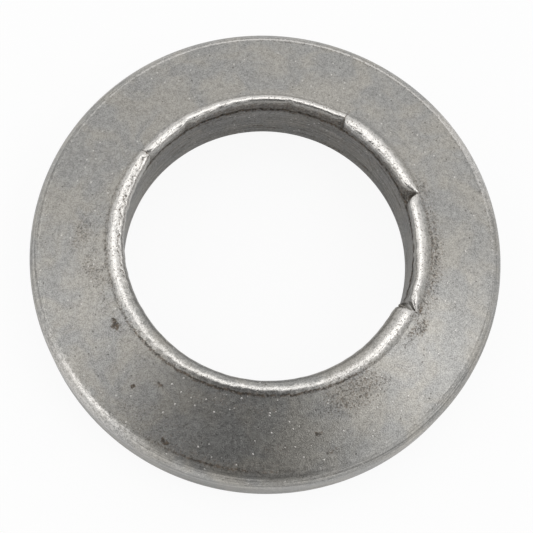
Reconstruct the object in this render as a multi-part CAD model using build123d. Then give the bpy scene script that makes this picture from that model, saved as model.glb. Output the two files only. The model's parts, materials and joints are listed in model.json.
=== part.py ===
"""Conical (belleville) spring washer with a rolled and torn lip round its bore.

One forged and turned piece of steel. It stands on a narrow landing under its rim, +Z up,
with the origin on the bore axis in the plane that it rests on. Lengths are in millimetres
and angles in degrees, counted anticlockwise from +X as seen from above.
"""

import os
from dataclasses import dataclass
from math import cos, degrees, hypot, radians, sin, tan

from build123d import *

# Overall form
outer_diameter = 31.0
bore_diameter = 19.0
rim_height = 3.1  # straight part of the rim, from the resting plane up
cone_angle = 18.4  # fall of the upper face from the bore out to the rim

# Rim
shoulder_radius = 1.5  # rounds the rim over towards the upper face
shoulder_turn = 60.0  # how far the shoulder turns before it meets the face at a crisp edge
foot_radius = 0.4  # lower outer edge

# Underside
landing_width = 1.0  # flat ring that carries the washer
dish_rise = 0.55  # height of the hollow underside at the bore
bore_foot_bevel = 0.2  # lower edge of the bore

# Bore's upper corner, under the lip
throat_radius = 0.45

# Rolled lip
lip_depth = 1.15  # height of the bead's own section
lip_rise = 0.27  # crest of the bead above the upper face
lap = 0.25  # how far a lobe starts back on the end of the one before it

# Tears in the lip
tear_depth = 1.15  # how far out from the bore a tear runs
tear_gap = 0.08  # width of a tear at its outer end

outer_radius = outer_diameter / 2
bore_radius = bore_diameter / 2
full_turn = 360.0


@dataclass(frozen=True)
class Tear:
    """A place where the lip split as it was rolled over."""

    azimuth: float
    mouth: float  # width of the notch over the bore wall


right_tear = Tear(28.1, 0.45)
upper_right_tear = Tear(67.7, 0.20)
left_tear = Tear(153.1, 0.25)
lower_right_tear = Tear(342.2, 0.35)
tears = (right_tear, upper_right_tear, left_tear, lower_right_tear)

# The lip also stepped at three more places without splitting
far_step = 100.0
far_left_step = 134.0
right_step = 356.0


@dataclass(frozen=True)
class Lobe:
    """One arc of the lip, and how far it reaches into the bore at its start, middle and end."""

    start: float
    end: float
    overhang: tuple[float, float, float]  # negative where the lobe stays short of the bore
    width: float
    laps: bool = False  # starts back on the end of the lobe before it


lobes = (
    Lobe(right_tear.azimuth, upper_right_tear.azimuth, (0.00, 0.05, 0.20), 0.95),
    Lobe(upper_right_tear.azimuth, far_step, (0.12, 0.10, 0.09), 0.70),
    Lobe(far_step, far_left_step, (0.12, 0.17, 0.22), 0.80, laps=True),
    Lobe(far_left_step, left_tear.azimuth, (0.20, 0.19, 0.05), 0.90, laps=True),
    Lobe(left_tear.azimuth, lower_right_tear.azimuth, (0.08, 0.39, 0.34), 1.15),
    Lobe(lower_right_tear.azimuth, right_step, (-0.05, -0.09, -0.13), 0.95),
    Lobe(right_step, right_tear.azimuth + full_turn, (0.10, 0.16, 0.03), 1.15, laps=True),
)


def face_edge():
    """Radius and height of the crisp edge where the shoulder meets the upper face."""
    radius = outer_radius - shoulder_radius * (1 - cos(radians(shoulder_turn)))
    height = rim_height + shoulder_radius * sin(radians(shoulder_turn))
    return radius, height


def face_height(radius):
    """Height of the conical upper face at a radius."""
    edge_radius, edge_height = face_edge()
    return edge_height + (edge_radius - radius) * tan(radians(cone_angle))


def section_profile():
    """Half section of the washer without its lip, as a face in the XZ plane."""
    edge_radius, edge_height = face_edge()
    landing_inner = outer_radius - foot_radius - landing_width
    half_turn = radians(shoulder_turn / 2)
    shoulder_middle = (
        outer_radius - shoulder_radius * (1 - cos(half_turn)),
        rim_height + shoulder_radius * sin(half_turn),
    )
    with BuildSketch(Plane.XZ) as profile:
        with BuildLine():
            Polyline(
                (edge_radius, edge_height),
                (bore_radius, face_height(bore_radius)),
                (bore_radius, dish_rise),
                (landing_inner, 0),
                (outer_radius, 0),
                (outer_radius, rim_height),
            )
            ThreePointArc((outer_radius, rim_height), shoulder_middle, (edge_radius, edge_height))
        make_face()
        fillet(corner(profile, (outer_radius, 0)), foot_radius)
        fillet(corner(profile, (bore_radius, face_height(bore_radius))), throat_radius)
        chamfer(corner(profile, (bore_radius, dish_rise)), bore_foot_bevel)
    return profile.sketch


def corner(profile, place):
    """The profile's vertex nearest to a radius and height, which are X and Y in the sketch itself."""
    return min(profile.vertices(), key=lambda vertex: hypot(vertex.X - place[0], vertex.Y - place[1]))


def bead_middle(azimuth, overhang, width):
    """Centre of the bead's section at an azimuth."""
    radius = bore_radius - overhang + width / 2
    height = face_height(radius) + lip_rise - lip_depth / 2
    return Vector(radius * cos(radians(azimuth)), radius * sin(radians(azimuth)), height)


def lobe_bead(lobe):
    """One lobe of rolled lip: an oval section carried along an arc through three places."""
    start = lobe.start - degrees(lap / bore_radius) if lobe.laps else lobe.start
    azimuths = (start, (start + lobe.end) / 2, lobe.end)
    middles = [bead_middle(azimuth, reach, lobe.width) for azimuth, reach in zip(azimuths, lobe.overhang)]
    centreline = ThreePointArc(*middles)
    inward = Vector(-cos(radians(start)), -sin(radians(start)), 0)
    section = Plane(origin=middles[0], x_dir=inward, z_dir=centreline % 0)
    return sweep(section * Ellipse(lobe.width / 2, lip_depth / 2), centreline)


def tear_notch(tear):
    """Wedge that parts the lip at a tear, narrow at its outer end and open towards the bore."""
    spread = tear.mouth - tear_gap
    outline = Polygon(
        (bore_radius - tear_depth, -tear_gap / 2 - spread),
        (bore_radius + tear_depth, -tear_gap / 2),
        (bore_radius + tear_depth, tear_gap / 2),
        (bore_radius - tear_depth, tear_gap / 2 + spread),
        align=None,
    )
    floor_height = face_height(bore_radius) - lip_depth
    return Rot(0, 0, tear.azimuth) * Pos(0, 0, floor_height) * extrude(outline, 2 * lip_depth)


def washer():
    """The whole washer: the turned body with its lip rolled on as one solid."""
    lip = Part() + [lobe_bead(lobe) for lobe in lobes]
    lip -= [tear_notch(tear) for tear in tears]
    return revolve(section_profile(), Axis.Z) + lip


os.makedirs("parts", exist_ok=True)
part = washer()
print("washer: solids", len(part.solids()), "volume", round(part.volume, 2), "size", part.bounding_box().size)
export_step(part, "parts/washer.step")
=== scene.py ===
"""Dressed model of a conical spring washer: worn satin steel, with a rolled and torn lip round its bore.

The turned body and the stretches of its lip are modelled as one piece, which stands for the plain
solid of the frame. Lengths are millimetres and angles are degrees, counted anticlockwise from +X as
seen from above, unless a name says otherwise. Blender itself works in metres.
"""

import json
import logging
import math
from dataclasses import dataclass, field
from enum import Enum

import bpy
import numpy as np
from mathutils import Matrix, Vector


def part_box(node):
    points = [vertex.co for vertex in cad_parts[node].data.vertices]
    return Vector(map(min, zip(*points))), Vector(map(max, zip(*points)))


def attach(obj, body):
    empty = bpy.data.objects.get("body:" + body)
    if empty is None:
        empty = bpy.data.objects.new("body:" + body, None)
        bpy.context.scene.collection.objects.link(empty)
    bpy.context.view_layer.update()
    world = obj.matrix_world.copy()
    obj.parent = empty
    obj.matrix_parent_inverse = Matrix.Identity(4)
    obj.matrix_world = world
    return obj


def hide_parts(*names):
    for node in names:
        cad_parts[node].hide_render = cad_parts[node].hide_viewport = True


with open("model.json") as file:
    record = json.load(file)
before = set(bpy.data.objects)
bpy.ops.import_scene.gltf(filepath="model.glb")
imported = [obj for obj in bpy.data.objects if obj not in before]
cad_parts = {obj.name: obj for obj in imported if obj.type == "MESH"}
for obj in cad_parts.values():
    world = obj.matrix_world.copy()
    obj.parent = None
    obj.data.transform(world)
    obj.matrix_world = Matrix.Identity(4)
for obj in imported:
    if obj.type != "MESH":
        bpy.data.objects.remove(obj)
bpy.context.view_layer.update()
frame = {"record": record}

MM = 0.001
FULL_TURN = 360.0
Rows = tuple[np.ndarray, np.ndarray]
Socket = bpy.types.NodeSocket
Fed = Socket | float | tuple[float, ...]
Colour = tuple[float, float, float, float]
log = logging.getLogger("washer")


# ---- small helpers


def wrap(angle: np.ndarray) -> np.ndarray:
    """Angles brought into the half turn either side of zero."""
    return (np.asarray(angle) + 180.0) % FULL_TURN - 180.0


def bell(distance: np.ndarray, spread: float) -> np.ndarray:
    """A smooth hump of height 1 that has nearly gone at twice its spread."""
    return np.exp(-((np.asarray(distance) / spread) ** 2))


def ease(value: np.ndarray, low: float, high: float) -> np.ndarray:
    """Smooth step from 0 at low to 1 at high."""
    share = np.clip((np.asarray(value) - low) / (high - low), 0.0, 1.0)
    return share * share * (3.0 - 2.0 * share)


def track(places: list[float], values: list[float], at: np.ndarray) -> np.ndarray:
    """Smooth curve through values set at places, without overshoot between them.

    Args:
        places: rising positions along the curve.
        values: the value at each position.
        at: positions to read, taken as the end values beyond the ends.

    Returns:
        The curve's value at each position asked for.
    """
    x = np.asarray(places, float)
    y = np.asarray(values, float)
    step = np.diff(x)
    slope = np.diff(y) / step
    tangent = np.zeros_like(y)
    inner = slope[:-1] * slope[1:] > 0
    tangent[1:-1][inner] = 2.0 * slope[:-1][inner] * slope[1:][inner] / (slope[:-1] + slope[1:])[inner]
    at = np.clip(np.asarray(at, float), x[0], x[-1])
    index = np.clip(np.searchsorted(x, at) - 1, 0, len(step) - 1)
    t = (at - x[index]) / step[index]
    rise = y[index + 1] - y[index]
    start = tangent[index] * step[index]
    end = tangent[index + 1] * step[index]
    return y[index] + t * start + t**2 * (3 * rise - 2 * start - end) + t**3 * (start + end - 2 * rise)


@dataclass(frozen=True)
class Ripples:
    """Seeded unevenness that runs smoothly round the washer and closes on itself."""

    seed: int
    slowest: int
    fastest: int
    count: int

    def at(self, azimuth: np.ndarray) -> np.ndarray:
        """Unevenness of about unit size at each azimuth.

        Args:
            azimuth: places round the bore.

        Returns:
            The sum there of waves that each have a whole number of cycles.
        """
        rng = np.random.default_rng(self.seed)
        around = np.radians(azimuth)
        total = np.zeros(around.shape)
        for _ in range(self.count):
            cycles = rng.integers(self.slowest, self.fastest + 1)
            total = total + np.cos(cycles * around + rng.uniform(0.0, 2.0 * math.pi))
        return total * math.sqrt(2.0 / self.count)


@dataclass(frozen=True)
class Arc:
    """A soft-ended arc of the washer, and how strong it is in its middle."""

    azimuth: float
    spread: float
    strength: float = 1.0

    def at(self, around: np.ndarray) -> np.ndarray:
        """Its strength at each azimuth."""
        return self.strength * bell(wrap(around - self.azimuth), self.spread)


@dataclass(frozen=True)
class Smear:
    """A soft-edged area: an arc of the washer and a band across it, at a place."""

    arc: Arc
    place: float
    breadth: float

    def over(self, around: np.ndarray, across: np.ndarray) -> np.ndarray:
        """Its strength at each azimuth and place across."""
        return self.arc.at(around) * bell(across - self.place, self.breadth)


class Paint(Enum):
    """The values painted on the steel's points, each from 0 to 1."""

    # Dirt, with painted shade in the lip's creases, folds and tears, under it, at its foot and low on the
    # rim.
    DIRT_AND_SHADE = "grime"
    # Steel rubbed bright, with painted highlights along the lip's crest, the crisp edge and the shoulder.
    RUB_AND_HIGHLIGHT = "scuff"
    TURNED = "turned"
    # Painted shade on the bore, the hollow underside, the front of the rim wall and the lip's inner side.
    SHADE = "shade"


@dataclass
class Skin:
    """Rows of points round the bore, with what is painted on them, before they become a mesh."""

    radius: np.ndarray
    height: np.ndarray
    azimuth: np.ndarray
    run: np.ndarray
    paint: dict[Paint, np.ndarray]
    flow_turn: float = 6.0

    @property
    def columns(self) -> int:
        """How many points each row has."""
        return self.radius.shape[1]

    def points(self) -> np.ndarray:
        """Every point as X, Y and Z, row by row."""
        turn = np.radians(self.azimuth)
        grid = np.stack([self.radius * np.cos(turn), self.radius * np.sin(turn), self.height], axis=-1)
        return grid.reshape(-1, 3)

    def flow(self) -> np.ndarray:
        """Places for marks that run round the bore: two for the turn and one along the section."""
        turn = np.radians(self.azimuth)
        turned = self.flow_turn * np.stack([np.cos(turn), np.sin(turn)], axis=-1)
        return np.concatenate([turned, self.run[..., None]], axis=-1).reshape(-1, 3)

    def quads(self, offset: int) -> list[tuple[int, ...]]:
        """Faces between the rows, closed round the bore.

        Args:
            offset: number of the first point.

        Returns:
            The four points of each face.
        """
        rows, columns = self.radius.shape
        row = np.arange(rows - 1)[:, None] * columns
        column = np.arange(columns)[None, :]
        beside = (column + 1) % columns
        corners = [row + column, row + beside, row + columns + beside, row + columns + column]
        return list(map(tuple, (np.stack(corners, axis=-1).reshape(-1, 4) + offset).tolist()))


def blank_paint(shape: tuple[int, int]) -> dict[Paint, np.ndarray]:
    """A zero of every painted value for each point."""
    return {paint: np.zeros(shape) for paint in Paint}


def section_run(radius: np.ndarray, height: np.ndarray, start: float) -> np.ndarray:
    """Distance along the section at each point, counted from start at the first row."""
    steps = np.hypot(np.diff(radius, axis=0), np.diff(height, axis=0)).mean(axis=1)
    run = start + np.concatenate([[0.0], np.cumsum(steps)])
    return np.repeat(run[:, None], radius.shape[1], axis=1)


# ---- the turned body


@dataclass
class TurnedBody:
    """The washer without its lip: bore wall, hollow underside, rim and sloping face."""

    outer_radius: float
    bore_radius: float
    rim_height: float = 3.1
    shoulder_radius: float = 1.5
    shoulder_turn: float = 60.0
    cone_angle: float = 18.4
    foot_radius: float = 0.4
    landing_width: float = 1.0
    dish_rise: float = 0.55
    bore_foot_bevel: float = 0.2
    face_end: float = 10.98
    wall_top: float = 4.15
    columns: int = 400
    flow_start: float = 20.0
    edge_sags: tuple[tuple[float, float], ...] = ((0.06, 0.009), (0.13, 0.006), (0.24, 0.001))
    edge_nick: float = 0.018
    face_dent: float = 0.003
    # Darker areas on the upper face: lines along the crisp edge, strongest in front, a band in front inside
    # it, and patches near the lip.
    smears: tuple[Smear, ...] = (
        Smear(Arc(266.0, 19.0, 0.85), 14.65, 0.13),
        Smear(Arc(60.0, 70.0, 0.22), 14.65, 0.13),
        Smear(Arc(264.0, 18.0, 0.36), 14.39, 0.40),
        Smear(Arc(356.0, 26.0, 0.42), 10.90, 0.42),
        Smear(Arc(205.0, 34.0, 0.26), 10.80, 0.60),
    )
    bore_dirt: float = 0.20
    # Painted shade low on the rim wall, by the floor.
    foot_shade: float = 0.35
    # Painted highlight along the crisp edge, strongest behind.
    far_edge_highlight: Arc = Arc(88.0, 62.0, 0.75)
    # Rubbed places on the shoulder, with painted sheen at the lower left.
    shoulder_rub_and_sheen: tuple[Arc, ...] = (Arc(228.0, 20.0, 0.46), Arc(34.0, 16.0, 0.42))
    # Painted shade on the front of the rim wall.
    dark_wall: Arc = Arc(267.0, 22.0, 0.58)
    # Less painted shade on the left of the bore.
    pale_bore: Arc = Arc(172.0, 24.0, 0.45)
    # Painted shade on the hollow underside.
    dark_hollow: float = 0.6

    def edge(self) -> tuple[float, float]:
        """Radius and height of the crisp edge between the shoulder and the face."""
        turn = math.radians(self.shoulder_turn)
        radius = self.outer_radius - self.shoulder_radius * (1.0 - math.cos(turn))
        return radius, self.rim_height + self.shoulder_radius * math.sin(turn)

    @property
    def slope(self) -> float:
        """Fall of the upper face for each millimetre outwards."""
        return math.tan(math.radians(self.cone_angle))

    def face_height(self, radius: np.ndarray) -> np.ndarray:
        """Height of the sloping face at a radius."""
        edge_radius, edge_height = self.edge()
        return edge_height + (edge_radius - np.asarray(radius)) * self.slope

    def section(self) -> np.ndarray:
        """Half section of the body: down the bore, out below, up the rim and in over the face.

        Returns:
            Rows of radius and height.
        """
        landing_outer = self.outer_radius - self.foot_radius
        landing_inner = landing_outer - self.landing_width
        slope = self.dish_rise / (landing_inner - self.bore_radius)
        bevel_out = self.bore_radius + self.bore_foot_bevel
        wall_foot = self.dish_rise + self.bore_foot_bevel
        rows = [(self.bore_radius, z) for z in np.linspace(self.wall_top, wall_foot, 12)]
        rows += [(bevel_out, self.dish_rise - slope * self.bore_foot_bevel)]
        rows += [(r, (landing_inner - r) * slope) for r in np.linspace(bevel_out, landing_inner, 5)[1:]]
        rows += [(landing_outer, 0.0)]
        for turn in np.radians(np.linspace(0.0, 90.0, 5)[1:]):
            height = self.foot_radius * (1.0 - math.cos(turn))
            rows += [(landing_outer + self.foot_radius * math.sin(turn), height)]
        rows += [(self.outer_radius, z) for z in np.linspace(self.foot_radius, self.rim_height, 7)[1:]]
        for turn in np.radians(np.linspace(0.0, self.shoulder_turn, 9)[1:]):
            radius = self.outer_radius - self.shoulder_radius * (1.0 - math.cos(turn))
            rows += [(radius, self.rim_height + self.shoulder_radius * math.sin(turn))]
        edge_radius = self.edge()[0]
        for inset, drop in self.edge_sags:
            rows += [(edge_radius - inset, float(self.face_height(edge_radius - inset)) - drop)]
        rows += [(r, float(self.face_height(r))) for r in np.linspace(edge_radius - 0.42, self.face_end, 18)]
        return np.array(rows)

    def skin(self) -> Skin:
        """The body's skin, with its small unevenness, dirt and rubbed places.

        Returns:
            The skin, whose last row lies on the face, at the lip.
        """
        section = self.section()
        azimuth = np.arange(self.columns) * FULL_TURN / self.columns
        radius = np.repeat(section[:, 0][:, None], self.columns, axis=1)
        height = np.repeat(section[:, 1][:, None], self.columns, axis=1)
        around = np.repeat(azimuth[None, :], len(section), axis=0)
        run = section_run(radius, height, self.flow_start)
        paint = self.painted(radius, height, around)
        self.roughen(radius, height, around)
        return Skin(radius, height, around, run, paint)

    def roughen(self, radius: np.ndarray, height: np.ndarray, around: np.ndarray) -> None:
        """Moves the skin by hundredths of a millimetre, in place: a nicked edge and soft dents.

        Args:
            radius: radius of each point.
            height: height of each point.
            around: azimuth of each point.
        """
        edge_radius, edge_height = self.edge()
        on_edge = bell(np.hypot(radius - edge_radius, height - edge_height), 0.06)
        height -= on_edge * self.edge_nick * np.clip(Ripples(11, 30, 150, 60).at(around), 0.0, 2.5)
        radius -= on_edge * self.edge_nick * np.abs(Ripples(12, 20, 140, 50).at(around))
        face = (radius < edge_radius - 0.1) & (height > self.rim_height)
        dents = Ripples(16, 3, 26, 30).at(around + 9.0 * radius)
        height -= face * self.face_dent * dents * ease(radius, self.face_end, self.face_end + 1.2)

    def painted(self, radius: np.ndarray, height: np.ndarray, around: np.ndarray) -> dict[Paint, np.ndarray]:
        """Where the body is dirty, rubbed bright, turned or darkened by painted shade, and where painted
        highlights and sheen lie on it.

        Args:
            radius: radius of each point.
            height: height of each point.
            around: azimuth of each point.

        Returns:
            The painted values.
        """
        edge_radius, edge_height = self.edge()
        upper = height > self.rim_height + 0.4
        below = height < self.rim_height
        bore = 1.0 * (radius < self.bore_radius + 0.01)
        rim = ease(radius, edge_radius - 0.05, edge_radius + 0.1)
        paint = blank_paint(radius.shape)
        # Painted shade low on the rim wall, by the floor.
        foot = (radius > self.outer_radius - 0.2) * bell(height - 0.1, 0.3)
        grime = [upper * smear.over(around, radius) for smear in self.smears]
        paint[Paint.DIRT_AND_SHADE] = np.maximum.reduce([*grime, self.bore_dirt * bore, self.foot_shade * foot])
        # The shoulder rubbed a little all round, with painted sheen at the lower left and the right.
        shoulder = rim * ease(height, self.rim_height - 1.2, self.rim_height + 0.1)
        rub_and_sheen = sum(rub.at(around) for rub in self.shoulder_rub_and_sheen) + 0.14
        # Painted highlight on the crisp edge, strongest behind, over a faint rubbed line all round.
        far = 0.25 + self.far_edge_highlight.at(around)
        edge = bell(np.hypot(radius - edge_radius, height - edge_height), 0.055) * far
        paint[Paint.RUB_AND_HIGHLIGHT] = np.maximum(edge, shoulder * rub_and_sheen)
        paint[Paint.TURNED] = np.maximum(bore, rim)
        # Painted shade on the front of the rim wall, the hollow underside and the bore, less at the bore's
        # left.
        wall = (0.06 + self.dark_wall.at(around)) * below * (radius > edge_radius)
        hollow = self.dark_hollow * below * (radius < edge_radius)
        paint[Paint.SHADE] = np.maximum.reduce([(1.0 - self.pale_bore.at(around)) * bore, wall, hollow])
        return paint


# ---- the rolled lip


@dataclass(frozen=True)
class Rib:
    """The lip's section at one azimuth.

    nose is the radius of its edge over the bore, foot the radius at which its outer side has run out
    into the face, and crest the radius of its top, which stands rise above the line of the face. ledge
    is the height of the crease below it, and edge the radius of the bore's edge there.
    """

    azimuth: float
    nose: float
    foot: float
    rise: float
    crest: float
    ledge: float = 4.72
    edge: float = 9.50


@dataclass(frozen=True)
class Lobe:
    """One stretch of lip between two places where it tore or stepped."""

    name: str
    ribs: tuple[Rib, ...]

    def holds(self, azimuth: np.ndarray) -> np.ndarray:
        """Which azimuths lie on it."""
        start = self.ribs[0].azimuth
        return (azimuth - start) % FULL_TURN < self.ribs[-1].azimuth - start

    def measure(self, size: str, azimuth: np.ndarray) -> np.ndarray:
        """One of the ribs' sizes, smooth from rib to rib.

        Args:
            size: name of the rib's field.
            azimuth: places on the lobe.

        Returns:
            The size at each place.
        """
        start = self.ribs[0].azimuth
        places = [rib.azimuth for rib in self.ribs]
        values = [getattr(rib, size) for rib in self.ribs]
        return track(places, values, start + (azimuth - start) % FULL_TURN)


LOBES = (
    Lobe(
        "upper right",
        (
            Rib(27.3, 10.12, 10.46, 0.15, 10.28), Rib(28.4, 9.95, 10.50, 0.20, 10.16),
            Rib(29.8, 9.74, 10.54, 0.23, 10.04), Rib(31.5, 9.57, 10.56, 0.25, 9.95),
            Rib(34, 9.46, 10.57, 0.26, 9.88), Rib(40, 9.38, 10.58, 0.27, 9.82),
            Rib(46, 9.33, 10.60, 0.27, 9.81), Rib(52, 9.29, 10.60, 0.27, 9.81),
            Rib(58, 9.25, 10.58, 0.27, 9.80), Rib(63, 9.26, 10.50, 0.27, 9.76),
            Rib(65.5, 9.31, 10.42, 0.26, 9.76), Rib(67, 9.44, 10.35, 0.24, 9.82),
            Rib(67.8, 9.64, 10.30, 0.20, 9.92),
        ),
    ),
    Lobe(
        "far right",
        (
            Rib(67.8, 9.68, 10.24, 0.20, 9.88), Rib(69.4, 9.55, 10.20, 0.23, 9.80),
            Rib(72, 9.46, 10.18, 0.25, 9.74), Rib(77, 9.42, 10.16, 0.26, 9.71),
            Rib(84, 9.41, 10.15, 0.26, 9.69), Rib(88.5, 9.44, 10.15, 0.26, 9.69),
            Rib(90.2, 9.52, 10.15, 0.25, 9.72),
        ),
    ),
    Lobe(
        "far",
        (
            Rib(90.2, 9.52, 10.15, 0.25, 9.72), Rib(92.5, 9.45, 10.16, 0.26, 9.69),
            Rib(98, 9.42, 10.17, 0.26, 9.68), Rib(112, 9.38, 10.18, 0.26, 9.67),
            Rib(122, 9.35, 10.20, 0.26, 9.68), Rib(129, 9.34, 10.24, 0.26, 9.69),
            Rib(131.2, 9.42, 10.25, 0.26, 9.72), Rib(132.6, 9.48, 10.26, 0.26, 9.74),
            Rib(135, 9.36, 10.28, 0.26, 9.70), Rib(140, 9.32, 10.30, 0.26, 9.72),
            Rib(146, 9.34, 10.32, 0.26, 9.75), Rib(150, 9.42, 10.34, 0.26, 9.80),
            Rib(151.8, 9.53, 10.34, 0.25, 9.84), Rib(152.9, 9.66, 10.34, 0.23, 9.92),
        ),
    ),
    Lobe(
        "near",
        (
            Rib(152.9, 9.48, 10.36, 0.17, 9.88), Rib(155, 9.38, 10.40, 0.22, 9.87),
            Rib(160, 9.31, 10.44, 0.23, 9.88), Rib(170, 9.27, 10.48, 0.22, 9.92),
            Rib(182, 9.26, 10.52, 0.20, 9.97), Rib(196, 9.22, 10.54, 0.18, 10.00),
            Rib(210, 9.19, 10.52, 0.16, 9.99), Rib(222, 9.16, 10.46, 0.14, 9.95),
            Rib(240, 9.15, 10.36, 0.12, 9.89), Rib(255, 9.15, 10.28, 0.11, 9.80),
            Rib(270, 9.15, 10.21, 0.10, 9.75), Rib(288, 9.11, 10.25, 0.11, 9.83),
            Rib(300, 9.09, 10.30, 0.12, 9.92), Rib(311, 9.08, 10.37, 0.14, 9.96),
            Rib(323, 9.08, 10.46, 0.17, 9.98), Rib(332, 9.07, 10.50, 0.20, 9.99),
            Rib(338, 9.09, 10.51, 0.21, 10.00), Rib(340.6, 9.13, 10.50, 0.18, 10.05),
            Rib(342, 9.27, 10.48, 0.10, 10.14),
        ),
    ),
    Lobe(
        "lower right",
        (
            Rib(342, 10.32, 10.62, 0.14, 10.46, 5.80, 9.29),
            Rib(343.1, 10.12, 10.64, 0.20, 10.32, 5.60, 9.38),
            Rib(344.5, 9.86, 10.66, 0.24, 10.12, 5.25, 9.46), Rib(346, 9.69, 10.68, 0.26, 10.00, 4.95, 9.47),
            Rib(348, 9.61, 10.70, 0.27, 9.94, 4.75, 9.50), Rib(352, 9.60, 10.70, 0.27, 9.90),
            Rib(355.5, 9.63, 10.70, 0.27, 9.90), Rib(357, 9.54, 10.70, 0.27, 9.88),
        ),
    ),
    Lobe(
        "right",
        (
            Rib(357, 9.54, 10.70, 0.27, 9.88), Rib(360, 9.45, 10.70, 0.27, 9.84),
            Rib(364, 9.41, 10.68, 0.27, 9.81), Rib(370, 9.37, 10.64, 0.27, 9.77),
            Rib(378, 9.34, 10.58, 0.27, 9.72), Rib(382.5, 9.37, 10.54, 0.26, 9.72),
            Rib(385, 9.47, 10.50, 0.25, 9.80), Rib(386.1, 9.62, 10.47, 0.23, 9.92),
            Rib(386.8, 9.90, 10.46, 0.19, 10.10), Rib(387.3, 10.12, 10.46, 0.15, 10.26),
        ),
    ),
)


@dataclass(frozen=True)
class Crease:
    """A thin fold line along the lip, from one azimuth to another, at a share of the way out."""

    start: float
    end: float
    share: float
    depth: float
    wander: float
    seed: int
    breadth: float = 0.040

    def cover(self, around: np.ndarray, share: np.ndarray) -> np.ndarray:
        """How much of the fold lies at each point, from 0 to 1.

        Args:
            around: azimuth of each point.
            share: how far out each point lies between the nose and the foot.

        Returns:
            The fold's share of each point.
        """
        line = self.share + self.wander * Ripples(self.seed, 20, 150, 24).at(around)
        fade = ease(around, self.start, self.start + 2.5) * (1.0 - ease(around, self.end - 9.0, self.end))
        return fade * bell(share - line, self.breadth)


@dataclass
class Course:
    """The lip's sizes at each azimuth, as in a rib, with their unevenness."""

    azimuth: np.ndarray
    nose: np.ndarray
    foot: np.ndarray
    crest: np.ndarray
    rise: np.ndarray
    edge: np.ndarray
    ledge: np.ndarray


@dataclass
class LipPoints:
    """Where the lip's points lie.

    place runs along the section: -1 at the foot, 0 on the crest, 1 at the nose and 2 in the crease.
    share is how far out a point lies between the nose and the foot, whose radius is foot.
    """

    radius: np.ndarray
    around: np.ndarray
    place: np.ndarray
    share: np.ndarray
    foot: np.ndarray


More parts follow.
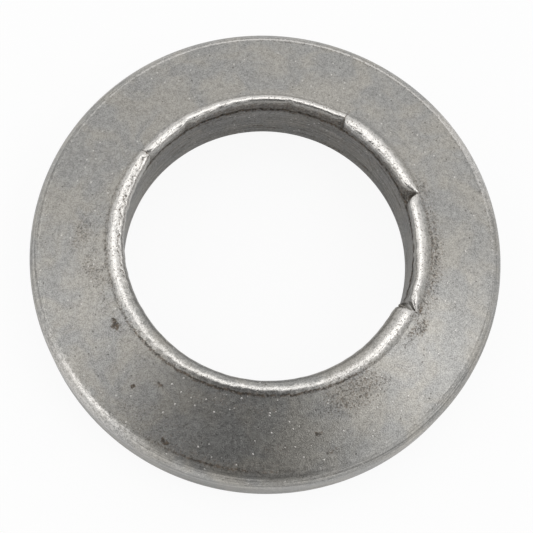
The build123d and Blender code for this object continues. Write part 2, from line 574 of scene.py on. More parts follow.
@dataclass
class RolledLip:
    """The lip: the bore's edge, rolled over in a press, torn at four places and stepped at three."""

    columns: int = 1200
    throat: float = 0.05
    burr: float = 0.035
    hammering: float = 0.010
    edge_wander: float = 0.012
    ledge_wander: float = 0.045
    raggedness: float = 0.020
    roundness: float = 0.72
    outer_rows: int = 24
    crest_rows: int = 14
    inner_rows: int = 11
    left: Arc = Arc(172.0, 30.0)
    broad: Arc = Arc(48.0, 20.0)
    wavy: Arc = Arc(4.0, 24.0, 1.2)
    wrinkled: Arc = Arc(52.0, 12.0, 0.005)
    # Painted shade in the crevice at the lip's foot, in front, with some dirt.
    foot_line: Arc = Arc(266.0, 24.0, 0.28)
    # Painted shade in the fold lines, as deep as the folds.
    fold_shade: float = 12.0
    # Painted shade in the tears.
    tears: tuple[Arc, ...] = (
        Arc(27.3, 0.4, 0.85),
        Arc(342.1, 0.18, 0.85),
        Arc(153.0, 0.22, 0.85),
        Arc(67.8, 0.3, 0.85),
    )
    foot_smears: tuple[Smear, ...] = (
        Smear(Arc(8.0, 30.0, 0.55), -0.15, 0.18),
        Smear(Arc(192.0, 40.0, 0.42), -0.15, 0.18),
    )
    face_smears: tuple[Smear, ...] = (
        Smear(Arc(2.0, 27.0, 0.55), 10.80, 0.26),
        Smear(Arc(343.5, 3.0, 0.80), 10.66, 0.16),
    )
    creases: tuple[Crease, ...] = (
        Crease(153.5, 212.0, 0.26, 0.060, 0.045, 71),
        Crease(153.5, 172.0, 0.42, 0.035, 0.050, 72),
        Crease(300.0, 338.0, 0.80, 0.014, 0.030, 73),
        Crease(30.0, 62.0, 0.30, 0.014, 0.050, 74),
        Crease(104.0, 150.0, 0.62, 0.012, 0.040, 75),
    )
    lobes: tuple[Lobe, ...] = LOBES

    def measure(self, size: str, azimuth: np.ndarray) -> np.ndarray:
        """One of the ribs' sizes right round the bore.

        Args:
            size: name of the rib's field.
            azimuth: places round the bore.

        Returns:
            The size at each place.
        """
        values = np.zeros_like(azimuth)
        for lobe in self.lobes:
            on_it = lobe.holds(azimuth)
            values[on_it] = lobe.measure(size, azimuth[on_it])
        return values

    def course(self) -> Course:
        """The lip's sizes at every column, made uneven by the press.

        Returns:
            The sizes, in the order of the columns.
        """
        azimuth = np.arange(self.columns) * FULL_TURN / self.columns
        uneven = self.hammering * (1.0 - 0.7 * self.crisp(azimuth) + self.wavy.at(azimuth))
        nose = self.measure("nose", azimuth) + uneven * Ripples(31, 24, 90, 50).at(azimuth)
        foot = self.measure("foot", azimuth) + 1.5 * self.hammering * Ripples(32, 18, 70, 50).at(azimuth)
        crest = self.measure("crest", azimuth) + 2.0 * self.hammering * Ripples(39, 9, 60, 40).at(azimuth)
        rise = self.measure("rise", azimuth) + 0.3 * self.hammering * Ripples(33, 20, 80, 50).at(azimuth)
        edge = self.measure("edge", azimuth) + self.edge_wander * Ripples(34, 16, 120, 50).at(azimuth)
        ledge = self.measure("ledge", azimuth) + self.ledge_wander * Ripples(35, 9, 110, 60).at(azimuth)
        return Course(azimuth, nose, foot, crest, rise, edge, ledge)

    def skin(self, body: TurnedBody, top: float) -> Skin:
        """The lip's skin, from the face over the crest to the upper part of the bore wall.

        Args:
            body: the turned body that the lip grows out of.
            top: greatest height that the crest may have.

        Returns:
            The skin, whose first row meets the face and whose last row meets the bore wall.
        """
        course = self.course()
        outer = self.outer_side(body, course)
        over = self.over_crest(body, course)
        inner = self.inner_side(body, course, (over[0][-1], over[1][-1]))
        radius = np.vstack([outer[0], over[0], inner[0]])
        height = np.vstack([outer[1], over[1], inner[1]])
        around = np.repeat(course.azimuth[None, :], len(radius), axis=0)
        share = (radius - course.nose) / (course.foot - course.nose)
        points = LipPoints(radius, around, self.places(len(radius)), share, course.foot)
        height = np.minimum(height + self.relief(points), top)
        return Skin(radius, height, around, section_run(radius, height, 0.0), self.painted(points))

    def places(self, rows: int) -> np.ndarray:
        """Place on the section of each row.

        Args:
            rows: how many rows there are in all, with those on the bore wall.

        Returns:
            The places, as in LipPoints.
        """
        outer = -np.linspace(1.0, 0.0, self.outer_rows)
        over = np.linspace(0.0, 1.0, self.crest_rows + 1)[1:]
        inner = 1.0 + np.linspace(0.0, 1.0, self.inner_rows + 1)[1:]
        wall = np.linspace(2.2, 3.0, rows - len(outer) - len(over) - len(inner))
        return np.concatenate([outer, over, inner, wall])[:, None]

    def crisp(self, azimuth: np.ndarray) -> np.ndarray:
        """How sharply the lip's outer side meets the face: 1 in front, 0 behind."""
        return ease(np.cos(np.radians(azimuth - 265.0)), 0.25, 0.85)

    def outer_side(self, body: TurnedBody, course: Course) -> Rows:
        """Rows from the face up to the crest.

        Args:
            body: the turned body.
            course: the lip's sizes.

        Returns:
            The rows' radii and heights.
        """
        share = np.linspace(1.0, 0.0, self.outer_rows)[:, None]
        radius = course.crest + (body.face_end - 0.06 - course.crest) * share
        out = np.clip((radius - course.crest) / (course.foot - course.crest), 0.0, 1.0)
        run_out = body.slope * (course.foot - course.crest)
        drop = course.rise + run_out
        last = run_out + (2.2 * drop - run_out) * self.crisp(course.azimuth)
        fall = drop * out * out * (3.0 - 2.0 * out)
        height = body.face_height(course.crest) + course.rise - fall + last * out * out * (1.0 - out)
        return radius, height - body.slope * np.maximum(radius - course.foot, 0.0)

    def over_crest(self, body: TurnedBody, course: Course) -> Rows:
        """Rows from the crest in to the nose.

        Args:
            body: the turned body.
            course: the lip's sizes.

        Returns:
            The rows' radii and heights.
        """
        turn = np.linspace(0.0, math.pi / 2, self.crest_rows + 1)[1:-1, None]
        far = ease(np.sin(np.radians(course.azimuth)), -0.45, 0.35)
        broad = self.broad.at(course.azimuth)
        flat = 2.0 / (2.15 + 1.25 * far + 1.2 * broad)
        reach = course.crest - course.nose
        depth = 0.12 + self.roundness * reach * (1.0 - 0.40 * broad)
        inward = np.vstack([np.sin(turn) ** flat, np.ones((1, self.columns))])
        down = np.vstack([1.0 - np.cos(turn) ** flat, np.ones((1, self.columns))])
        return course.crest - reach * inward, body.face_height(course.crest) + course.rise - depth * down

    def inner_side(self, body: TurnedBody, course: Course, nose: Rows) -> Rows:
        """Rows from the nose down to the crease, over the burr and down the bore wall.

        Args:
            body: the turned body.
            course: the lip's sizes.
            nose: radius and height of the nose at each azimuth.

        Returns:
            The rows' radii and heights.
        """
        edge, ledge, foot = course.edge, course.ledge, body.wall_top
        down = np.linspace(0.0, 1.0, self.inner_rows + 1)[1:, None]
        ragged = self.raggedness * Ripples(36, 30, 160, 50).at(course.azimuth) * np.sin(math.pi * down)
        radius = nose[0] + (edge + self.throat - nose[0]) * down**2.2 + ragged
        height = nose[1] + (ledge - nose[1]) * down
        bead = ((0.4 * self.burr, 0.06), (self.burr, 0.12), (0.0, 0.22))
        burr = [(edge - inset, ledge - drop) for inset, drop in bead]
        wall = np.linspace(0.4, 0.93, 3)[:, None]
        radius = np.vstack([radius, *[row[0] for row in burr], edge + (body.bore_radius - edge) * wall])
        height = np.vstack([height, *[row[1] for row in burr], ledge - 0.22 + (foot - ledge + 0.22) * wall])
        return radius, height

    def relief(self, points: LipPoints) -> np.ndarray:
        """Small heights on the lip: hammer marks, wrinkles and fold lines.

        Args:
            points: where the points lie.

        Returns:
            The height to add to each point.
        """
        radius, around, place = points.radius, points.around, points.place
        marks = 0.4 * self.hammering * Ripples(37, 20, 110, 80).at(around + 4.0 * radius)
        marks = marks + self.wrinkled.at(around) * Ripples(38, 60, 330, 80).at(around + 3.0 * radius)
        relief = bell(place - 0.2, 0.75) * marks
        for crease in self.creases:
            relief = relief - crease.depth * crease.cover(around, points.share) * (place < 1.01)
        return relief

    def painted(self, points: LipPoints) -> dict[Paint, np.ndarray]:
        """Where the lip is rubbed bright under a painted highlight, where dirt sits on it, and where painted
        shade lies in its folds, tears and foot and under it.

        Args:
            points: where the points lie.

        Returns:
            The painted values.
        """
        radius, around, place = points.radius, points.around, points.place
        beyond_foot = radius - points.foot
        paint = blank_paint(radius.shape)
        front = self.crisp(around)
        left = self.left.at(around)
        broad = self.broad.at(around)
        far = ease(np.sin(np.radians(around)), -0.1, 0.5)
        # The crest rubbed bright under a painted highlight, whose width and strength change round the bore.
        inward = 0.48 - 0.22 * front + 1.05 * left + 0.30 * far + 0.30 * broad
        rub_and_sheen = 0.88 - 0.26 * front - 0.10 * left - 0.12 * broad
        over = bell(np.maximum(place, 0.0), inward) * bell(np.minimum(place, 0.0), 0.34)
        paint[Paint.RUB_AND_HIGHLIGHT] = rub_and_sheen * over
        healed = ease(around, 341.9, 342.1) * (1.0 - ease(around, 344.0, 348.0))
        # Dirt and painted shade under the nose and below the crease, less at the left.
        inner = ease(place, 0.85, 1.15) * (place < 2.15) * (1.0 - 0.9 * healed)
        below = 0.50 * bell(place - 2.35, 0.30) + 0.20 * (place > 2.15)
        # Painted shade with some dirt in the crevice at the foot, in front.
        line = front * (0.72 + self.foot_line.at(around))
        grime = [
            (0.30 + 0.30 * far) * (1.0 - 0.85 * left) * inner + 0.25 * bell(place - 2.05, 0.12),
            below * (1.0 - 0.5 * left),
            line * bell(beyond_foot + 0.08, 0.11),
        ]
        grime += [smear.over(around, beyond_foot) for smear in self.foot_smears]
        grime += [smear.over(around, radius) for smear in self.face_smears]
        # Painted shade in the fold lines.
        for crease in self.creases:
            fold = crease.depth * crease.cover(around, points.share)
            grime.append(self.fold_shade * fold * (place < 1.01))
        # Painted shade in the tears.
        grime += [tear.at(around) * ease(place, -0.75, -0.2) * (place < 2.1) for tear in self.tears]
        paint[Paint.DIRT_AND_SHADE] = np.clip(np.maximum.reduce(grime), 0.0, 1.0)
        paint[Paint.TURNED] = np.repeat(ease(place, 2.1, 2.4), self.columns, axis=1)
        # Painted shade on the lip's inner side, less at the left.
        paint[Paint.SHADE] = ease(place, 1.05, 1.5) * (1.0 - healed) * (1.0 - 0.45 * left)
        return paint


# ---- finishes


@dataclass
class NodeSheet:
    """A material's or world's node tree, with short calls for the nodes used here."""

    tree: bpy.types.NodeTree

    def feed(self, socket: Socket, value: Fed) -> None:
        """Links an input to another node's output, or sets it to a plain value."""
        if isinstance(value, Socket):
            self.tree.links.new(value, socket)
        else:
            socket.default_value = value

    def node(self, kind: str, inputs: dict[int | str, Fed], **settings: object) -> bpy.types.Node:
        """A new node.

        Args:
            kind: its type.
            inputs: what feeds each input, by the input's name or number.
            settings: the node's own settings.

        Returns:
            The node.
        """
        made = self.tree.nodes.new(kind)
        for name, value in settings.items():
            setattr(made, name, value)
        for name, value in inputs.items():
            self.feed(made.inputs[name], value)
        return made

    def use(self, kind: str, output: int | str, inputs: dict[int | str, Fed], **settings: object) -> Socket:
        """One output of a new node."""
        return self.node(kind, inputs, **settings).outputs[output]

    def attribute(self, name: str, output: str = "Fac") -> Socket:
        """A value that the mesh carries."""
        return self.use("ShaderNodeAttribute", output, {}, attribute_name=name)

    def ray(self, kind: str) -> Socket:
        """Whether the ray is of a kind, as 1 or 0."""
        return self.use("ShaderNodeLightPath", kind, {})

    def math(self, operation: str, *values: Fed, clamp: bool = False) -> Socket:
        """The result of a sum on plain numbers."""
        return self.use("ShaderNodeMath", 0, dict(enumerate(values)), operation=operation, use_clamp=clamp)

    def vector(self, operation: str, *values: Fed) -> Socket:
        """The result of a sum on vectors."""
        return self.use("ShaderNodeVectorMath", "Vector", dict(enumerate(values)), operation=operation)

    def dot(self, first: Fed, second: Fed) -> Socket:
        """The dot product of two vectors."""
        return self.use("ShaderNodeVectorMath", "Value", {0: first, 1: second}, operation="DOT_PRODUCT")

    def scaled(self, vector: Fed, share: Fed) -> Socket:
        """A vector made longer or a colour made lighter by a share."""
        return self.use("ShaderNodeVectorMath", "Vector", {0: vector, "Scale": share}, operation="SCALE")

    def noise(self, place: Fed, scale: float, detail: float = 2.0, warp: float = 0.0) -> Socket:
        """Smooth noise about one half, read at a place."""
        inputs = {"Vector": place, "Scale": scale, "Detail": detail, "Distortion": warp}
        return self.use("ShaderNodeTexNoise", "Fac", inputs)

    def cells(self, place: Fed, scale: float) -> tuple[Socket, Socket]:
        """Scattered cells.

        Args:
            place: where they are read.
            scale: how many there are in a millimetre.

        Returns:
            The distance from the nearest cell's middle, and that cell's own random number.
        """
        made = self.node("ShaderNodeTexVoronoi", {"Vector": place, "Scale": scale})
        chance = self.use("ShaderNodeSeparateColor", 0, {0: made.outputs["Color"]})
        return made.outputs["Distance"], chance

    def span(self, value: Fed, low: float, high: float, to_low: Fed = 0.0, to_high: Fed = 1.0) -> Socket:
        """A value's smooth passage from one range to another."""
        inputs = {"Value": value, "From Min": low, "From Max": high, "To Min": to_low, "To Max": to_high}
        return self.use("ShaderNodeMapRange", "Result", inputs, interpolation_type="SMOOTHSTEP")

    def blend(self, share: Fed, first: Fed, second: Fed) -> Socket:
        """A colour that passes from the first to the second with a share."""
        return self.use("ShaderNodeMix", 2, {0: share, 6: first, 7: second}, data_type="RGBA")

    def bump(self, height: Fed, distance: float, strength: float) -> Socket:
        """A surface normal tipped by a height."""
        inputs = {"Height": height, "Distance": distance * MM, "Strength": strength}
        return self.use("ShaderNodeBump", "Normal", inputs)


@dataclass(frozen=True)
class Spot:
    """A small area of the upper face: a stain, or a place rubbed by other steel."""

    azimuth: float
    radius: float
    length: float
    breadth: float
    strength: float

    def cover(self, sheet: NodeSheet, place: Socket) -> Socket:
        """How much of it lies at a place.

        Args:
            sheet: the node tree to build in.
            place: the place, in millimetres.

        Returns:
            Its strength there.
        """
        turn = math.radians(self.azimuth)
        centre = (self.radius * math.cos(turn), self.radius * math.sin(turn), 0.0)
        offset = sheet.vector("SUBTRACT", place, centre)
        along = sheet.dot(offset, (-math.sin(turn) / self.length, math.cos(turn) / self.length, 0.0))
        across = sheet.dot(offset, (math.cos(turn) / self.breadth, math.sin(turn) / self.breadth, 0.0))
        squares = [sheet.math("MULTIPLY", reach, reach) for reach in (along, across)]
        return sheet.span(sheet.math("ADD", *squares), 0.1, 1.7, self.strength, 0.0)


@dataclass(frozen=True)
class SatinSteel:
    """Tumbled steel: fine grain, pits, turning marks, dirt and painted shade in the corners, and rubbed
    edges with painted highlights and glints.
    """

    steel: Colour = (0.358, 0.354, 0.342, 1.0)
    warm: Colour = (0.372, 0.357, 0.328, 1.0)
    # Colour of rubbed steel, also used for painted highlights and glints.
    bright: Colour = (0.74, 0.72, 0.69, 1.0)
    # Dark colour of dirt, also used for painted shade and for pits.
    dirt_and_shade_colour: Colour = (0.045, 0.037, 0.030, 1.0)
    brown: Colour = (0.135, 0.101, 0.072, 1.0)
    # Lightness of the steel under full painted shade.
    painted_shade_level: float = 0.60
    roughness: float = 0.38
    grain_swing: float = 0.26
    streak_swing: float = 0.30
    relief_depth: float = 0.011
    relief_strength: float = 0.9
    wander: float = 0.7
    upper_side: float = 3.3
    stains: tuple[Spot, ...] = (
        Spot(185.6, 11.9, 1.2, 0.60, 0.34),
        Spot(190.0, 12.5, 0.6, 0.30, 0.30),
        Spot(198.3, 11.5, 0.9, 0.45, 0.36),
        Spot(202.0, 11.0, 0.8, 0.35, 0.30),
        Spot(219.2, 11.2, 0.42, 0.26, 0.85),
        Spot(217.4, 11.1, 0.22, 0.14, 0.85),
        Spot(221.0, 10.9, 0.5, 0.22, 0.34),
        Spot(237.0, 12.6, 0.13, 0.12, 1.00),
        Spot(252.0, 14.35, 0.34, 0.16, 1.10),
        Spot(293.0, 12.7, 0.25, 0.20, 0.80),
        Spot(295.0, 13.9, 0.40, 0.18, 0.45),
        Spot(281.0, 13.4, 1.0, 0.45, 0.28),
        Spot(339.2, 11.25, 0.75, 0.34, 0.52),
        Spot(335.8, 10.95, 0.9, 0.30, 0.42),
        Spot(346.0, 10.90, 0.9, 0.35, 0.38),
        Spot(243.0, 11.6, 0.30, 0.16, 0.70),
        Spot(28.0, 10.70, 0.9, 0.35, 0.38),
        Spot(266.0, 10.75, 3.0, 0.50, 0.22),
        Spot(250.0, 13.6, 3.5, 1.00, 0.16),
        Spot(307.0, 11.2, 2.4, 1.10, 0.42),
    )
    # Places rubbed by other steel, where painted glints lie closer together.
    glint_rubs: tuple[Spot, ...] = (
        Spot(325.0, 11.1, 2.2, 0.9, 1.0),
        Spot(263.0, 10.65, 4.5, 0.50, 1.0),
        Spot(356.0, 11.2, 3.0, 0.5, 0.8),
        Spot(270.0, 12.6, 3.6, 1.6, 0.5),
    )

    def material(self) -> bpy.types.Material:
        """The finished material, which reads the values painted on the mesh."""
        made = bpy.data.materials.new("satin_steel")
        made.use_nodes = True
        SteelSheet(made.node_tree, self).dress(made.node_tree.nodes["Principled BSDF"])
        return made


class SteelSheet(NodeSheet):
    """The node tree of satin steel."""

    def __init__(self, tree: bpy.types.NodeTree, finish: SatinSteel) -> None:
        """Reads the steel's unevenness, from the finest to the broadest, at places in millimetres.

        Args:
            tree: the node tree to build in.
            finish: the colours and measures.
        """
        super().__init__(tree)
        self.finish = finish
        self.place = self.scaled(self.use("ShaderNodeTexCoord", "Object", {}), 1.0 / MM)
        self.grain = self.noise(self.place, 14.0, 1.5)
        self.dots = self.noise(self.place, 8.0, 3.0)
        self.mottle = self.noise(self.place, 4.4)
        self.coarse = self.noise(self.place, 1.9)
        self.cloud = self.noise(self.place, 0.42, 3.0, 0.6)

    def dress(self, shader: bpy.types.Node) -> None:
        """Feeds the shader's colour, roughness and relief.

        Args:
            shader: the surface shader.
        """
        finish = self.finish
        shade = self.attribute(Paint.SHADE.value)
        pits, glints = self.pits(), self.glints()
        dirty = self.math("MAXIMUM", self.attribute(Paint.DIRT_AND_SHADE.value), self.patches(shade))
        grime = self.specks(self.math("MAXIMUM", dirty, self.spots(finish.stains)))
        scuff = self.broken(self.attribute(Paint.RUB_AND_HIGHLIGHT.value))
        nicks = self.math("MULTIPLY", self.span(self.dots, 0.605, 0.665), self.span(scuff, 0.15, 0.5))
        # Rubbed steel and painted highlights, then painted glints, in the bright colour.
        colour = self.blend(self.math("MULTIPLY", scuff, 0.80), self.bare(shade), finish.bright)
        colour = self.blend(glints, colour, finish.bright)
        # Dirt and painted shade, in dark and brown colours.
        dirt_and_shade_tint = self.blend(self.span(self.mottle, 0.42, 0.58), finish.dirt_and_shade_colour, finish.brown)
        colour = self.blend(self.math("MULTIPLY", grime, 0.85), colour, dirt_and_shade_tint)
        colour = self.blend(self.math("MULTIPLY", nicks, 0.60), colour, finish.brown)
        self.feed(shader.inputs["Base Color"], self.blend(pits, colour, finish.dirt_and_shade_colour))
        shader.inputs["Metallic"].default_value = 1.0
        rough = self.span(self.mottle, 0.2, 0.8, finish.roughness - 0.01, finish.roughness + 0.03)
        rough = self.math("SUBTRACT", rough, self.math("MULTIPLY", scuff, 0.15))
        rough = self.math("ADD", rough, self.math("MULTIPLY", grime, 0.22), clamp=True)
        self.feed(shader.inputs["Roughness"], rough)
        relief = self.math("SUBTRACT", self.grain, self.math("MULTIPLY", pits, 1.2))
        relief = self.math("SUBTRACT", relief, self.math("MULTIPLY", nicks, 0.8))
        relief = self.math("ADD", relief, self.math("MULTIPLY", glints, 1.5))
        self.feed(shader.inputs["Normal"], self.bump(relief, finish.relief_depth, finish.relief_strength))

    def bare(self, shade: Socket) -> Socket:
        """Colour of the bare steel, with its grain, its turning marks and its painted shade.

        Args:
            shade: how much painted shade lies on it.

        Returns:
            The colour.
        """
        finish = self.finish
        colour = self.blend(self.span(self.cloud, 0.35, 0.65), finish.steel, finish.warm)
        grain = self.span(self.grain, 0.25, 0.75, 1.0 - finish.grain_swing, 1.0 + finish.grain_swing)
        level = self.math("ADD", grain, self.span(self.mottle, 0.3, 0.7, -0.10, 0.10))
        for broad in (self.coarse, self.cloud):
            level = self.math("ADD", level, self.span(broad, 0.3, 0.7, -0.05, 0.05))
        level = self.math("MULTIPLY", level, self.turning_marks(finish.streak_swing))
        level = self.math("MULTIPLY", level, self.span(shade, 0.0, 1.0, 1.0, finish.painted_shade_level))
        return self.scaled(colour, level)

    def turning_marks(self, swing: float) -> Socket:
        """Streaks round the rim and bore, as a lightness that swings either side of 1."""
        flow = self.vector("MULTIPLY", self.attribute("flow", "Vector"), (0.35, 0.35, 8.0))
        level = self.span(self.noise(flow, 1.0, 3.0, 0.3), 0.3, 0.7, -swing, swing)
        return self.math("ADD", 1.0, self.math("MULTIPLY", level, self.attribute(Paint.TURNED.value)))

    def spots(self, spots: tuple[Spot, ...]) -> Socket:
        """All spots together, on the upper side alone, with wandering outlines.

        Args:
            spots: the spots.

        Returns:
            Their strength.
        """
        offset = self.scaled(self.vector("SUBTRACT", self.coarse, (0.5, 0.5, 0.5)), self.finish.wander)
        moved = self.vector("ADD", self.place, offset)
        total = 0.0
        for spot in spots:
            total = self.math("MAXIMUM", total, spot.cover(self, moved))
        height = self.use("ShaderNodeSeparateXYZ", "Z", {0: self.place})
        return self.math("MULTIPLY", total, self.math("GREATER_THAN", height, self.finish.upper_side))

    def broken(self, amount: Socket) -> Socket:
        """A painted amount with its edges broken up by the grain."""
        jitter = self.math("MULTIPLY", self.math("ADD", self.mottle, self.grain), 0.70)
        mixed = self.math("ADD", amount, self.math("SUBTRACT", jitter, 0.70))
        return self.math("MULTIPLY", self.span(mixed, 0.18, 0.86), self.span(amount, 0.02, 0.25))

    def specks(self, amount: Socket) -> Socket:
        """A painted amount of dirt and shade as a thin film with specks in it, which join up where there is
        much.

        Args:
            amount: the painted amount.

        Returns:
            How much dirt there is.
        """
        joined = self.math("ADD", self.dots, self.math("MULTIPLY", amount, 0.30))
        specks = self.math("MULTIPLY", self.span(joined, 0.56, 0.78), self.span(amount, 0.03, 0.12))
        film = self.math("MULTIPLY", self.span(amount, 0.05, 1.1), 0.45)
        return self.math("ADD", self.math("MULTIPLY", specks, 0.62), film, clamp=True)

    def patches(self, shade: Socket) -> Socket:
        """Long blotches of old dirt that lie along the bore wall and under the lip."""
        flow = self.vector("MULTIPLY", self.attribute("flow", "Vector"), (0.8, 0.8, 2.6))
        blotches = self.span(self.noise(flow, 1.0, 4.0, 0.4), 0.48, 0.70, 0.0, 0.62)
        return self.math("MULTIPLY", blotches, self.span(shade, 0.7, 1.0))

    def pits(self) -> Socket:
        """Small scattered pits."""
        distance, chance = self.cells(self.place, 2.4)
        chosen = self.math("MULTIPLY", self.math("GREATER_THAN", chance, 0.84), 0.55)
        return self.math("MULTIPLY", chosen, self.span(distance, 0.09, 0.19, 1.0, 0.0))

    def glints(self) -> Socket:
        """Small scattered painted glints, closer together where other steel has rubbed."""
        distance, chance = self.cells(self.vector("ADD", self.place, (31.0, 7.0, 0.0)), 3.2)
        likely = self.math("ADD", chance, self.math("MULTIPLY", self.spots(self.finish.glint_rubs), 0.22))
        chosen = self.math("MULTIPLY", self.math("GREATER_THAN", likely, 0.87), 0.85)
        return self.math("MULTIPLY", chosen, self.span(distance, 0.10, 0.22, 1.0, 0.0))


@dataclass(frozen=True)
class PaleFloorFinish:
    """Matt white sheet, shown near white with the object's shadow kept, and clear from below."""

    colour: Colour = (0.90, 0.90, 0.90, 1.0)
    lift: float = 0.92
    mirrored_lift: float = 0.35

    def material(self) -> bpy.types.Material:
        """Makes the finish.

        Returns:
            The material.
        """
        made = bpy.data.materials.new("pale_floor")
        made.use_nodes = True
        sheet = NodeSheet(made.node_tree)
        sheet.tree.nodes.remove(sheet.tree.nodes["Principled BSDF"])
        matt = sheet.use("ShaderNodeBsdfDiffuse", 0, {"Color": self.colour})
        white = sheet.use("ShaderNodeEmission", 0, {})
        clear = sheet.use("ShaderNodeBsdfTransparent", 0, {})
        mirrored = sheet.math("MAXIMUM", sheet.ray("Is Glossy Ray"), sheet.ray("Is Transmission Ray"))
        mirrored = sheet.math("MULTIPLY", mirrored, self.mirrored_lift)
        straight = sheet.math("MULTIPLY", sheet.ray("Is Camera Ray"), self.lift)
        lifted = sheet.math("MAXIMUM", straight, mirrored)
        shown = sheet.use("ShaderNodeMixShader", 0, {0: lifted, 1: matt, 2: white})
        below = sheet.use("ShaderNodeNewGeometry", "Backfacing", {})
        shown = sheet.use("ShaderNodeMixShader", 0, {0: below, 1: shown, 2: clear})
        sheet.feed(sheet.tree.nodes["Material Output"].inputs["Surface"], shown)
        return made


# ---- the piece, the studio and the view


@dataclass
class Washer:
    """The whole washer as one steel piece."""

    body: TurnedBody
    lip: RolledLip
    top: float
    finish: SatinSteel = field(default_factory=SatinSteel)

    def build(self) -> bpy.types.Object:
        """Models and dresses the washer.

        Returns:
            The piece, which stands for its solid in the frame.
        """
        mesh = self.mesh("washer_steel", self.lip.skin(self.body, self.top), self.body.skin())
        mesh.materials.append(self.finish.material())
        piece = bpy.data.objects.new("washer_steel", mesh)
        bpy.context.scene.collection.objects.link(piece)
        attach(piece, "root")
        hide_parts("washer")
        return piece

    @staticmethod
    def seam(fine: np.ndarray, coarse: np.ndarray, inward: bool) -> list[tuple[int, ...]]:
        """Faces that join a row of many points to a row of fewer, with no gap between them.

        Args:
            fine: the points of the fuller row.
            coarse: the points of the other row.
            inward: whether the fuller row comes after the other along the section.

        Returns:
            One face for each step of the row with fewer points.
        """
        ratio = len(fine) // len(coarse)
        faces = []
        for step in range(len(coarse)):
            many = [int(fine[(step * ratio + index) % len(fine)]) for index in range(ratio + 1)]
            few = [int(coarse[step]), int(coarse[(step + 1) % len(coarse)])]
            faces.append(tuple(few + many[::-1] if inward else many + few[::-1]))
        return faces

    def mesh(self, name: str, lip: Skin, body: Skin) -> bpy.types.Mesh:
        """One closed smooth mesh of both skins, with their painted values.

        Args:
            name: name of the mesh.
            lip: the lip's skin, with the finer rows.
            body: the body's skin.

        Returns:
            The mesh, in metres.
        """
        points = np.vstack([lip.points(), body.points()])
        offset = lip.radius.size
        numbers = np.arange(len(points))
        first = numbers[offset : offset + body.columns]
        faces = lip.quads(0) + body.quads(offset)
        faces += self.seam(numbers[offset - lip.columns : offset], first, False)
        faces += self.seam(numbers[: lip.columns], numbers[-body.columns :], True)
        mesh = bpy.data.meshes.new(name)
        mesh.from_pydata((points * MM).tolist(), [], faces)
        for paint in Paint:
            values = np.concatenate([lip.paint[paint].ravel(), body.paint[paint].ravel()])
            layer = mesh.attributes.new(paint.value, "FLOAT", "POINT")
            layer.data.foreach_set("value", values.astype(np.float32))
        flow = mesh.attributes.new("flow", "FLOAT_VECTOR", "POINT")
        flow.data.foreach_set("vector", np.vstack([lip.flow(), body.flow()]).astype(np.float32).ravel())
        mesh.shade_smooth()
        mesh.validate()
        return mesh


@dataclass(frozen=True)
class SkyPatch:
    """A soft-edged part of the studio's surround that is brighter or darker than the rest."""

    azimuth: float
    elevation: float
    core: float
    fade: float
    strength: float

    def direction(self) -> Vector:
        """Unit vector towards its middle."""
        up, turn = math.radians(self.elevation), math.radians(self.azimuth)
        return Vector((math.cos(up) * math.cos(turn), math.cos(up) * math.sin(turn), math.sin(up)))


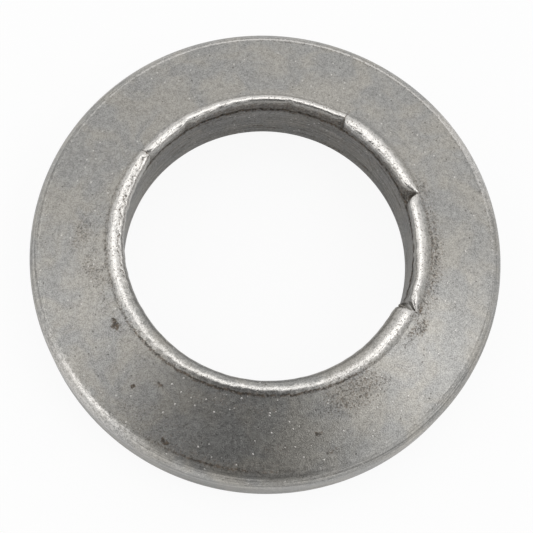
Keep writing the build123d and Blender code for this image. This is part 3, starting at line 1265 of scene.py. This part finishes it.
@dataclass
class Studio:
    """Pale floor that curves up all round, and a soft surround with brighter and darker patches."""

    level: float = 0.95
    darkest: float = 0.02
    patches: tuple[SkyPatch, ...] = (
        SkyPatch(270.0, 63.0, 16.0, 30.0, -0.95),
        SkyPatch(272.0, 20.0, 16.0, 44.0, -0.72),
        SkyPatch(358.0, 51.0, 4.0, 16.0, 1.85),
        SkyPatch(316.0, 44.0, 3.0, 14.0, 0.50),
        SkyPatch(186.0, 52.0, 4.0, 20.0, 0.60),
        SkyPatch(222.0, 9.0, 6.0, 26.0, 0.90),
        SkyPatch(140.0, 44.0, 10.0, 40.0, -0.12),
        SkyPatch(90.0, 76.0, 6.0, 22.0, 0.95),
    )
    floor_sides: int = 96
    floor_radius: float = 280.0
    floor_drop: float = 0.02
    cove_reach: float = 150.0
    cove_height: float = 12.0
    cove_rings: int = 9
    finish: PaleFloorFinish = field(default_factory=PaleFloorFinish)

    def surround(self) -> None:
        """Builds the world's light, which is plain white where the camera sees it."""
        world = bpy.data.worlds.new("studio")
        bpy.context.scene.world = world
        world.use_nodes = True
        sheet = NodeSheet(world.node_tree)
        background = sheet.tree.nodes["Background"]
        background.inputs["Color"].default_value = (1.0, 1.0, 1.0, 1.0)
        toward = sheet.vector("NORMALIZE", sheet.use("ShaderNodeTexCoord", "Generated", {}))
        level = self.level
        for patch in self.patches:
            near = sheet.dot(toward, patch.direction())
            edge, core = math.cos(math.radians(patch.fade)), math.cos(math.radians(patch.core))
            level = sheet.math("ADD", level, sheet.span(near, edge, core, 0.0, patch.strength))
        level = sheet.math("MAXIMUM", level, self.darkest)
        straight = sheet.ray("Is Camera Ray")
        sheet.feed(background.inputs["Strength"], sheet.span(straight, 0.0, 1.0, level, 1.0))

    def floor(self) -> bpy.types.Object:
        """Builds the floor: a wide disc that curves up all round at its edge.

        Returns:
            The floor.
        """
        steps = self.floor_sides
        rings = [(self.floor_radius, -self.floor_drop)]
        for turn in np.radians(np.linspace(0.0, 90.0, self.cove_rings)[1:]):
            reach = self.floor_radius + self.cove_reach * math.sin(turn)
            rings.append((reach, self.cove_height * (1.0 - math.cos(turn)) - self.floor_drop))
        points = []
        for radius, height in rings:
            for turn in np.arange(steps) * 2.0 * math.pi / steps:
                points.append((radius * math.cos(turn) * MM, radius * math.sin(turn) * MM, height * MM))
        faces = [tuple(range(steps))]
        for low in range(0, (len(rings) - 1) * steps, steps):
            for step in range(steps):
                beside, high = (step + 1) % steps, low + steps
                faces.append((low + step, high + step, high + beside, low + beside))
        mesh = bpy.data.meshes.new("floor")
        mesh.from_pydata(points, [], faces)
        mesh.shade_smooth()
        mesh.materials.append(self.finish.material())
        piece = bpy.data.objects.new("floor", mesh)
        bpy.context.scene.collection.objects.link(piece)
        return piece

    def build(self) -> bpy.types.Object:
        """Builds the surround and the floor."""
        self.surround()
        return self.floor()


@dataclass
class ViewCamera:
    """The camera that looks down on the washer from in front."""

    elevation: float = 73.40
    distance: float = 93.0
    roll: float = 9.08
    lens: float = 92.25
    shift: tuple[float, float] = (0.00370, -0.00170)
    clip_start: float = 0.001

    def build(self) -> bpy.types.Object:
        """Places the camera and makes it the scene's own.

        Returns:
            The camera.
        """
        data = bpy.data.cameras.new("camera")
        data.lens = self.lens
        data.shift_x, data.shift_y = self.shift
        data.clip_start = self.clip_start
        camera = bpy.data.objects.new("camera", data)
        lift, turn = math.radians(self.elevation), math.radians(self.roll)
        back = Vector((0.0, -math.cos(lift), math.sin(lift)))
        level_up = Vector((0.0, math.sin(lift), math.cos(lift)))
        level_right = Vector((1.0, 0.0, 0.0))
        right = math.cos(turn) * level_right + math.sin(turn) * level_up
        up = -math.sin(turn) * level_right + math.cos(turn) * level_up
        facing = Matrix((right, up, back)).transposed().to_4x4()
        camera.matrix_world = Matrix.Translation(back * self.distance * MM) @ facing
        bpy.context.scene.collection.objects.link(camera)
        bpy.context.scene.camera = camera
        return camera


def main() -> None:
    """Builds the camera, the studio and the washer in order, and reports each piece."""
    logging.basicConfig(level=logging.INFO, format="%(message)s")
    bpy.context.scene.view_settings.view_transform = "Standard"
    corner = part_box("washer")[1]
    bore = next(mount for mount in frame["record"]["mounts"] if mount["name"] == "bore")
    camera = ViewCamera().build()
    log.info("camera at %s", [round(value, 4) for value in camera.matrix_world.translation])
    floor = Studio().build()
    log.info("%s: %d faces", floor.name, len(floor.data.polygons))
    body = TurnedBody(outer_radius=corner.x / MM, bore_radius=bore["dims"]["r_mm"])
    lip = RolledLip()
    for lobe in lip.lobes:
        log.info("lip lobe %s: %.1f to %.1f degrees", lobe.name, lobe.ribs[0].azimuth, lobe.ribs[-1].azimuth)
    piece = Washer(body, lip, corner.z / MM - 0.001).build()
    log.info("%s: %d faces", piece.name, len(piece.data.polygons))


if __name__ == "__main__":
    main()
